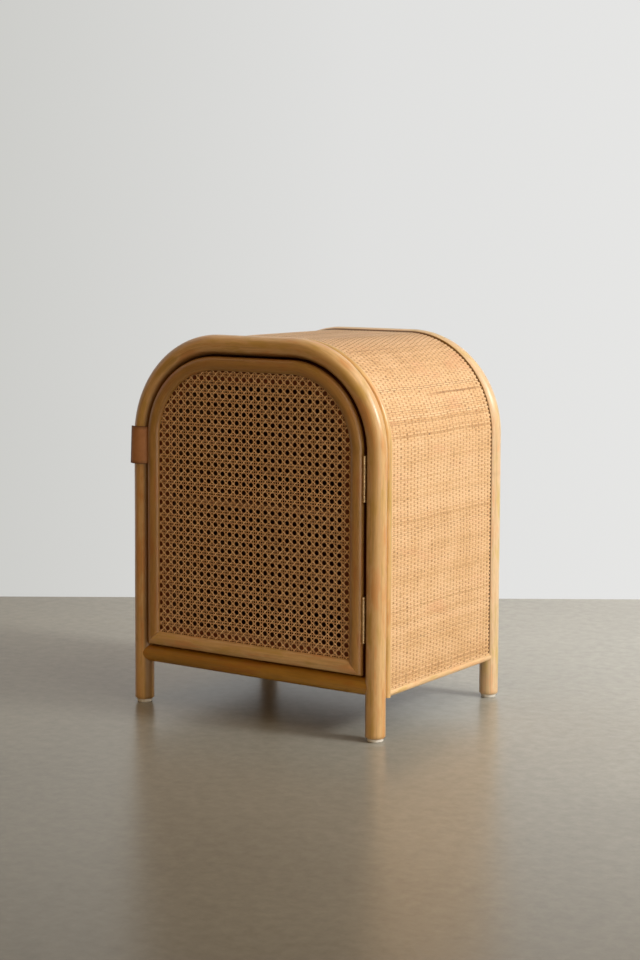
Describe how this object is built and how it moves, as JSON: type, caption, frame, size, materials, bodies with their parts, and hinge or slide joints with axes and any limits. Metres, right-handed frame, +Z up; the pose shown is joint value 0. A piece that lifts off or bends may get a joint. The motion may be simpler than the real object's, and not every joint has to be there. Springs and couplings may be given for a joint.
{
  "type": "rattan bedside cabinet",
  "caption": "Bedside cabinet of bent rattan poles with an arched top, a woven cover, a hinged cane door with a leather pull tab, and a shelf inside.",
  "frame": {"origin": "on the floor, midway between the four legs", "axes": "+X to the right of someone facing the door, +Y to the back, +Z up"},
  "size_m": [0.4301, 0.3498, 0.545],
  "materials": {
    "rattan_pole": "satin, smooth peeled pole",
    "rattan_weave": "matt, woven in close rows",
    "rattan_trim": "satin, half-round peel",
    "door_moulding": "satin, rounded wood",
    "door_wood": "satin, oiled wood",
    "cane": "satin cane webbing",
    "plywood": "matt veneer",
    "dowel_wood": "bare beech",
    "tab_leather": "smooth, burnished edge",
    "aged_brass": "antique, satin",
    "plated_steel": "zinc plated",
    "magnet": "sintered, dark",
    "brown_plastic": "moulded",
    "glide_plastic": "translucent nylon"
  },
  "bodies": {
    "cabinet": {"front_hoop": "rattan_pole", "back_hoop": "rattan_pole", "front_rail": "rattan_pole", "back_rail": "rattan_pole", "left_side_rail": "door_wood", "right_side_rail": "door_wood", "rail_dowels": "dowel_wood", "front_left_glide": "glide_plastic", "front_right_glide": "glide_plastic", "back_left_glide": "glide_plastic", "back_right_glide": "glide_plastic", "glide_nails": "plated_steel", "bent_shell": "plywood", "woven_cover": "rattan_weave", "front_bead": "rattan_trim", "right_trim": "rattan_trim", "left_trim": "rattan_trim", "back_board": "plywood", "back_weave": "rattan_weave", "back_sill": "door_wood", "back_bead": "rattan_trim", "floor_board": "plywood", "floor_board_screws": "plated_steel", "shelf": "plywood", "left_shelf_cleat": "door_wood", "right_shelf_cleat": "door_wood", "cleat_screws": "plated_steel", "catch_housing": "brown_plastic", "catch_magnet": "magnet", "catch_screws": "plated_steel", "upper_hinge_frame_leaf": "aged_brass", "lower_hinge_frame_leaf": "aged_brass", "upper_hinge_pin": "aged_brass", "lower_hinge_pin": "aged_brass", "hinge_frame_screws": "aged_brass"},
    "door": {"door_frame": "door_wood", "door_arch_moulding": "door_moulding", "door_foot_moulding": "door_moulding", "cane_panel": "cane", "upper_hinge_door_leaf": "aged_brass", "lower_hinge_door_leaf": "aged_brass", "hinge_door_screws": "aged_brass", "pull_tab": "tab_leather", "tab_screws": "aged_brass", "strike_plate": "plated_steel", "strike_screw": "plated_steel"}
  },
  "joints": [
    {"name": "door_hinge", "type": "hinge", "parent": "cabinet", "child": "door", "pos_m": [0.1866, -0.1676, 0.26285], "axis": [0, 0, 1], "range_deg": [0, 110]}
  ]
}
